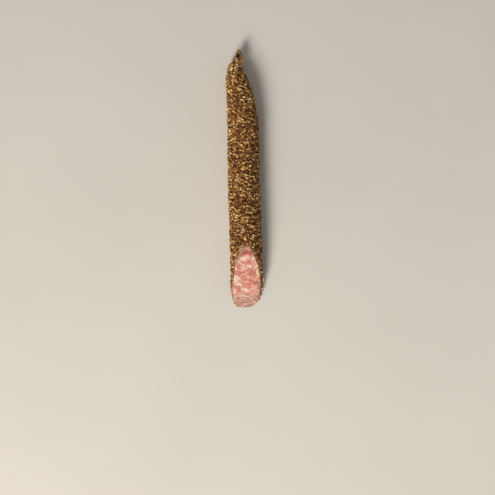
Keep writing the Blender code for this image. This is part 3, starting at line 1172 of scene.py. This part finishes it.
@dataclass
class PepperStrewer:
    """Strews pepper pieces over a surface, each a ball that flat breaks cut short.

    facing is how much each piece's first break turns outwards, grain how much its length turns
    round the stick and along it, and cluster how much paler or darker whole clusters of
    cluster_size are. Pieces nearer the tip than tip_pale_to get paler, by up to tip_pale. Rows lie
    row_gap spacings apart, with fewest places or more in each, and disorder is how far a place
    may be off, as a share of the spacing. small_lean over 1 makes small pieces more common,
    lowest is the lowest that a middle may lie, and wrinkled is how rough a ball is. A face is
    broken or sliced when a larger share than most of its corners is. sliced_tone holds the least
    tone of a sliced face, and how much of its own tone is added to that.
    """

    skin: Skin
    cut: SlantedCut
    kind: PepperKind
    facing: float = 1.3
    grain: Pair = (3.2, -0.5)
    cluster: float = 0.22
    cluster_size: float = 0.0055
    tip_pale: float = 0.17
    tip_pale_to: float = 0.085
    tip_pale_over: float = 0.04
    row_gap: float = 0.87
    fewest: int = 3
    disorder: float = 0.42
    small_lean: float = 1.5
    lowest: float = -0.0002
    wrinkled: float = 0.10
    least_facing: float = 0.001
    sharp: float = 38.0
    pale_tones: Pair = (0.55, 1.0)
    dark_tones: Pair = (0.0, 0.5)
    cluster_layers: int = 2
    most: float = 0.7
    sliced_tone: Pair = (0.6, 0.4)
    flicker: float = 0.06
    rng: np.random.Generator = field(init=False)

    def __post_init__(self) -> None:
        """Seeds the random numbers."""
        self.rng = np.random.default_rng(self.kind.seed)

    def between(self, limits: Pair, count: int, lean: float = 1.0) -> Array:
        """Random numbers between limits. A lean over 1 makes small ones more common."""
        return limits[0] + (limits[1] - limits[0]) * self.rng.random(count) ** lean

    def places(self, first: float, last: float) -> tuple[Array, Array]:
        """Evenly spaced places with some disorder: rows of as many as fit round the surface.

        Args:
            first: The first row's t.
            last: The last row's t.

        Returns:
            t and angle of each place.
        """
        spacing, disorder = self.kind.spacing, self.disorder
        rows = np.arange(first, last, spacing * self.row_gap)
        fits = np.maximum(np.round(self.skin.girth(rows) / spacing), self.fewest).astype(int)
        row = np.repeat(np.arange(len(rows)), fits)
        nth = np.arange(len(row)) - np.repeat(np.cumsum(fits) - fits, fits)
        start = self.rng.random(len(rows))[row]
        nth = nth + start + self.rng.uniform(-disorder, disorder, len(row))
        angle = 2.0 * math.pi * nth / fits[row]
        t = rows[row] + spacing * self.rng.uniform(-disorder, disorder, len(row))
        return t, angle % (2.0 * math.pi)

    def ball(self) -> tuple[Array, tuple[Indices, Indices]]:
        """Directions of a ball's points, from its lowest to its highest, and its faces."""
        kind = self.kind
        rise = -np.cos(np.linspace(0.0, math.pi, kind.rings + 2)[1:-1])[:, None]
        turn = np.arange(kind.segments)[None, :] + 0.5 * (np.arange(kind.rings)[:, None] % 2)
        turn = 2.0 * math.pi * turn / kind.segments
        flat = np.sqrt(1.0 - rise**2)
        rise = np.broadcast_to(rise, turn.shape)
        ring = np.stack([flat * np.cos(turn), flat * np.sin(turn), rise], axis=-1)
        poles = np.array([[0.0, 0.0, -1.0], [0.0, 0.0, 1.0]])
        points = np.concatenate([poles[:1], ring.reshape(-1, 3), poles[1:]])
        return points, wrapped_faces(kind.rings, kind.segments)

    def shapes(self, count: int, ball: Array) -> tuple[Array, Array]:
        """Broken balls. The radius in each direction is the least of a wrinkled ball's and of
        every break plane's: its distance over the cosine between its normal and the direction.

        Args:
            count: How many shapes.
            ball: Directions of a ball's points.

        Returns:
            The points of each shape, the largest radius being 1, and whether each is on a break.
        """
        kind = self.kind
        normals = self.rng.normal(size=(count, kind.breaks, 3))
        normals[:, 0, 2] += self.facing
        normals /= np.linalg.norm(normals, axis=-1, keepdims=True)
        distance = self.between(kind.broken, count * kind.breaks).reshape(count, kind.breaks, 1)
        facing = np.maximum(normals @ ball.T, self.least_facing)
        breaks = (distance / facing).min(axis=1)
        wrinkled = 1.0 + self.wrinkled * self.rng.uniform(-1.0, 1.0, (count, len(ball)))
        radius = np.minimum(breaks, wrinkled)
        points = ball * radius[..., None]
        points = points - points.mean(axis=1, keepdims=True)
        reach = np.linalg.norm(points, axis=-1).max(axis=1)
        return points / reach[:, None, None], breaks < wrinkled

    def frames(self, t: Array, angle: Array) -> Array:
        """Axes for each piece: two along the surface and one out of it, turned and tilted."""
        out = self.skin.outward(t, angle)
        out = out + self.kind.tilt * self.rng.normal(size=out.shape)
        out /= np.linalg.norm(out, axis=-1, keepdims=True)
        along = np.array([0.0, 1.0, 0.0])
        side = self.grain[0] * np.cross(along, out) + self.grain[1] * along
        side = side + self.rng.normal(size=out.shape)
        side -= (side * out).sum(axis=-1, keepdims=True) * out
        side /= np.linalg.norm(side, axis=-1, keepdims=True)
        return np.stack([side, np.cross(out, side), out], axis=1)

    def build(self, t: Array, angle: Array, depth: Array | None = None) -> bpy.types.Object:
        """One piece of all the pepper of this kind.

        Args:
            t: Where each piece lies along the stick.
            angle: Where each piece lies round it.
            depth: How deep each middle lies, or None for the kind's own depths.

        Returns:
            The piece, without a material.
        """
        kind = self.kind
        sizes = self.between(kind.sizes, len(t), self.small_lean)
        if depth is None:
            depth = sizes * self.between(kind.sunk, len(t))
        centres = self.skin.place(t, angle) - self.skin.outward(t, angle) * depth[:, None]
        held = self.cut.above(centres) < -kind.margin * sizes
        held = held & (centres[:, 2] > self.lowest)
        t, angle, sizes, centres = t[held], angle[held], sizes[held], centres[held]
        count = len(t)
        ball, groups = self.ball()
        shapes, broken = self.shapes(count, ball)
        scale = np.stack(
            [self.between(kind.length, count), np.ones(count), self.between(kind.flatness, count)],
            axis=-1,
        )
        scale /= scale.max(axis=1, keepdims=True)
        local = shapes * scale[:, None, :] * sizes[:, None, None] / 2
        points = centres[:, None, :] + local @ self.frames(t, angle)
        out = self.skin.outward(t, angle)[:, None, :]
        proud = ((points - self.skin.place(t, angle)[:, None, :]) * out).sum(axis=-1).max(axis=1)
        points -= np.maximum(proud - kind.proud, 0.0)[:, None, None] * out
        open_cut = self.cut.above(points) > 0.0
        points = self.cut.trim(points)
        points[..., 2] = np.maximum(points[..., 2], 0.0)
        shift = np.arange(count)[:, None, None] * len(ball)
        faces = [(group[None] + shift).reshape(-1, group.shape[1]) for group in groups]
        piece = mesh_object(kind.name, points, faces, self.sharp)
        mealy = self.rng.random(count)[:, None] < kind.mealy
        inner = np.where(open_cut, mealy, broken) | kind.bare
        tone = self.tones(t, centres)
        owner = np.concatenate([group[:, 0] // len(ball) for group in faces])
        least, added = self.sliced_tone
        shade = np.where(self.mostly(open_cut, faces), least + added * tone[owner], tone[owner])
        shade = shade + self.rng.uniform(-self.flicker, self.flicker, len(owner))
        give_values(piece, "kernel", self.mostly(inner, faces).astype(float), Domain.FACE)
        give_values(piece, "tone", np.clip(shade, 0.0, 1.0), Domain.FACE)
        give_values(piece, "tint", self.rng.random(count)[owner], Domain.FACE)
        return piece

    def mostly(self, marked: Array, faces: Sequence[Indices]) -> Array:
        """Whether most corners of each face are marked."""
        marked = marked.ravel()
        return np.concatenate([marked[group].mean(axis=1) > self.most for group in faces])

    def tones(self, t: Array, centres: Array) -> Array:
        """How pale each piece is: a random tone, plus its cluster's noise, plus more at the tip.

        Args:
            t: Where each piece lies along the stick.
            centres: Each piece's middle.

        Returns:
            One tone for each piece, from about 0 to about 1.
        """
        kind, count = self.kind, len(t)
        pale = self.rng.random(count) < kind.pale
        tone = np.where(
            pale, self.between(self.pale_tones, count), self.between(self.dark_tones, count)
        )
        tone = kind.tone[0] + (kind.tone[1] - kind.tone[0]) * tone
        clusters = layered_noise(centres, self.cluster_size, Seed.CLUSTERS, self.cluster_layers)
        tip = smooth_step((self.tip_pale_to - t) / self.tip_pale_over)
        return tone + self.cluster * clusters + self.tip_pale * tip


@dataclass(frozen=True)
class PepperCoat:
    """All the pepper on the stick: the coat's kinds, the neck's pieces, and the cut's rim.

    The coat starts shoulder_gap behind the shoulder's edge. The neck's pepper lies between the two
    distances of neck_reach, and leaves the ridge bare: neck_ridge holds its angle, half its width
    and the t where it ends. The first rim kind lies on the right and the second on the left. Rim
    pieces lie as deep as rim_depths says, in shares of the coat, and as far behind the cut as
    rim_back says. placed and neck_placed hold t, angle and depth in mm of each pale kernel.
    """

    meat: Meat = Meat()
    neck: NeckForm = NeckForm()
    coat: tuple[PepperKind, ...] = (
        PepperKind("pepper_chunks", (0.0042, 0.0064), 0.0050, 8, 3, (0.6, 0.9), pale=0.38, seed=1),
        PepperKind("cracked_pepper", (0.0034, 0.0054), 0.0036, 6, 3, pale=0.42, seed=2),
        PepperKind(
            "pepper_splinters", (0.0034, 0.0056), 0.0054, 6, 3, flatness=(0.4, 0.8),
            length=(1.6, 2.6), breaks=4, broken=(0.05, 0.5), sunk=(-0.2, 0.05), tilt=0.3,
            tone=(0.35, 1.0), pale=0.8, margin=0.5, seed=3,
        ),
        PepperKind(
            "pepper_hulls", (0.0026, 0.0046), 0.0058, 7, 2, flatness=(0.16, 0.3), breaks=1,
            broken=(0.4, 0.9), sunk=(-0.2, 0.1), tilt=0.6, tone=(0.0, 0.9), seed=4,
        ),
        PepperKind(
            "pepper_crumbs", (0.0009, 0.0020), 0.0025, 5, 2, sunk=(0.0, 0.8), tilt=1.0,
            tone=(0.0, 0.6), pale=0.2, seed=5,
        ),
    )
    neck_kind: PepperKind = PepperKind(
        "neck_pepper", (0.0018, 0.0034), 0.0022, 6, 3, sunk=(-0.1, 0.15), pale=0.6, seed=6,
    )
    neck_reach: Pair = (0.0092, 0.020)
    neck_ridge: tuple[float, float, float] = (1.9, 0.42, 0.0140)
    rim_kinds: tuple[PepperKind, PepperKind] = (
        PepperKind("rim_pepper", (0.0015, 0.0028), 0.0018, 6, 3, tilt=1.2, pale=0.5, seed=7),
        PepperKind(
            "pale_rim_pepper", (0.0018, 0.0032), 0.0018, 6, 3, tilt=1.2, tone=(0.35, 1.0),
            pale=0.75, mealy=0.8, seed=13,
        ),
    )
    rim_count: int = 400
    rim_disorder: float = 0.01
    rim_depths: Pair = (0.15, 0.8)
    rim_back: Pair = (0.0004, 0.0030)
    shoulder_gap: float = 0.0012
    placed_kind: PepperKind = PepperKind(
        "pale_kernels", (0.0034, 0.0046), 0.0, 7, 3, flatness=(0.5, 0.8), length=(1.2, 1.7),
        breaks=3, broken=(0.2, 0.5), tilt=0.1, tone=(0.8, 1.0), pale=1.0, mealy=1.0, bare=True,
        proud=0.0022, seed=8,
    )
    placed: tuple[tuple[float, float, float], ...] = (
        (0.0183, 1.26, -0.9),
        (0.0188, 0.75, -0.9),
        (0.0200, 2.45, -0.6),
        (0.0229, 1.97, -1.7),
        (0.0243, 2.04, -1.8),
        (0.0311, 1.90, -1.2),
        (0.0395, 0.98, -0.9),
        (0.0456, 1.50, -0.9),
        (0.0497, 2.20, -0.9),
        (0.0534, 1.36, -0.9),
        (0.1020, 1.68, -0.8),
        (0.1090, 2.45, -0.9),
        (0.1320, 1.42, -0.8),
        (0.1330, 0.93, -0.9),
        (0.2010, 1.83, -0.5),
        (0.2015, 1.33, -0.5),
        (0.2035, 1.12, -0.4),
        (0.2090, 2.05, -0.5),
        (0.2368, 0.02, -1.7),
        (0.2385, -0.02, -1.5),
        (0.2632, 3.98, -0.9),
        (0.2655, 4.20, -0.9),
    )
    neck_placed: tuple[tuple[float, float, float], ...] = (
        (0.0130, 0.50, 0.8),
        (0.0186, 1.10, -1.4),
        (0.0202, 1.62, -1.5),
    )

    def rim_places(self, strewer: PepperStrewer, side: float) -> tuple[Array, Array, Array]:
        """Places through the coat's depth, just behind the cut, on one side of the stick.

        Args:
            strewer: Gives the random numbers.
            side: The angle of the side's middle.

        Returns:
            t, angle and depth of each.
        """
        half_turn = math.pi / 2
        count = self.rim_count // 2
        angle = np.linspace(side - half_turn, side + half_turn, count, endpoint=False)
        angle = angle + strewer.rng.uniform(-self.rim_disorder, self.rim_disorder, count)
        thick = self.meat.thickness(angle)
        angle = angle[strewer.rng.random(count) < thick / self.meat.coat[1]]
        depth = self.meat.thickness(angle) * strewer.rng.uniform(*self.rim_depths, len(angle))
        t = self.meat.cut.meets(self.meat.form, angle, depth)
        return t - strewer.rng.uniform(*self.rim_back, len(angle)), angle, depth

    def build(self) -> list[bpy.types.Object]:
        """Every kind of pepper piece, dressed."""
        form, cut = self.meat.form, self.meat.cut
        finish = PepperFinish().material()
        pieces = []
        for kind in self.coat:
            strewer = PepperStrewer(form, cut, kind)
            first = form.shoulder_at + self.shoulder_gap
            pieces.append(strewer.build(*strewer.places(first, form.length)))
        strewer = PepperStrewer(self.neck, cut, self.neck_kind)
        t, angle = strewer.places(*self.neck_reach)
        middle, half, end = self.neck_ridge
        covered = (abs(angle - middle) > half) | (t > end)
        pieces.append(strewer.build(t[covered], angle[covered]))
        for kind, side in zip(self.rim_kinds, (0.0, math.pi)):
            strewer = PepperStrewer(form, cut, kind)
            pieces.append(strewer.build(*self.rim_places(strewer, side)))
        for skin, kind, places in (
            (form, self.placed_kind, self.placed),
            (self.neck, replace(self.placed_kind, name="neck_kernels", seed=9), self.neck_placed),
        ):
            t, angle, sunk = np.array(places).T
            pieces.append(PepperStrewer(skin, cut, kind).build(t, angle, sunk / 1000))
        for piece in pieces:
            piece.data.materials.append(finish)
        return pieces


@dataclass(frozen=True)
class Studio:
    """The floor, the lights and the camera, which looks straight down.

    Turns and heights of the key light are in degrees. The camera sees nothing nearer than nearest.
    """

    floor_size: float = 3.0
    floor_drop: float = 0.0001
    camera_at: Vector = (0.0031, -0.0704, 0.5)
    lens: float = 34.46
    sensor: float = 36.0
    nearest: float = 0.01
    aim: Vector = (0.0, -0.03, 0.01)
    key_turn: float = 25.0
    key_height: float = 34.0
    key_distance: float = 3.0
    key_size: float = 1.05
    key_power: float = 95.0
    key_colour: Colour = (1.0, 0.93, 0.83)
    fill: float = 0.24
    fill_colour: Colour = (1.0, 0.94, 0.86)

    def floor(self) -> None:
        """A pale table top, a hair under the stick."""
        half = self.floor_size / 2
        corners = np.array([[-half, -half], [half, -half], [half, half], [-half, half]])
        corners = np.pad(corners, ((0, 0), (0, 1)), constant_values=-self.floor_drop)
        floor = mesh_object("floor", corners, [np.array([[0, 1, 2, 3]])])
        floor.data.materials.append(FloorFinish().material())

    def lights(self) -> None:
        """A soft key light from the lower left of the view, and an even fill from all round."""
        turn, height = math.radians(self.key_turn), math.radians(self.key_height)
        flat = math.cos(height)
        way = np.array([-math.sin(turn) * flat, -math.cos(turn) * flat, math.sin(height)])
        key = bpy.data.lights.new("key", "AREA")
        key.energy, key.size, key.color = self.key_power, self.key_size, self.key_colour
        lamp = bpy.data.objects.new("key", key)
        lamp.location = np.array(self.aim) + way * self.key_distance
        lamp.rotation_euler = (math.pi / 2 - height, 0.0, -turn)
        bpy.context.scene.collection.objects.link(lamp)
        world = bpy.data.worlds.new("fill")
        world.use_nodes = True
        sky = world.node_tree.nodes["Background"]
        sky.inputs["Color"].default_value = (*self.fill_colour, 1.0)
        sky.inputs["Strength"].default_value = self.fill
        bpy.context.scene.world = world

    def camera(self) -> None:
        """The camera over the lower half of the stick."""
        data = bpy.data.cameras.new("camera")
        data.lens, data.sensor_width, data.clip_start = self.lens, self.sensor, self.nearest
        camera = bpy.data.objects.new("camera", data)
        camera.location = self.camera_at
        bpy.context.scene.collection.objects.link(camera)
        bpy.context.scene.camera = camera
        bpy.context.scene.view_settings.view_transform = "Standard"

    def build(self) -> None:
        """Makes the floor, the lights and the camera."""
        self.floor()
        self.lights()
        self.camera()


def report(piece: bpy.types.Object) -> None:
    """Logs a piece's name and how many triangles it has."""
    log.info("%s: %d triangles", piece.name, len(piece.data.loops) - 2 * len(piece.data.polygons))


def main() -> None:
    """Builds the stick's pieces and the studio."""
    logging.basicConfig(level=logging.INFO, format="%(name)s: %(message)s")
    meat, crust, neck = Meat(), Crust(), Neck()
    flesh, casing = meat.build(), neck.build()
    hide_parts(NODE)
    coat = [crust.build(), *PepperCoat(meat=meat).build()]
    for piece in (flesh, casing, *coat):
        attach(piece, BODY)
        report(piece)
    Studio().build()


if __name__ == "__main__":
    main()
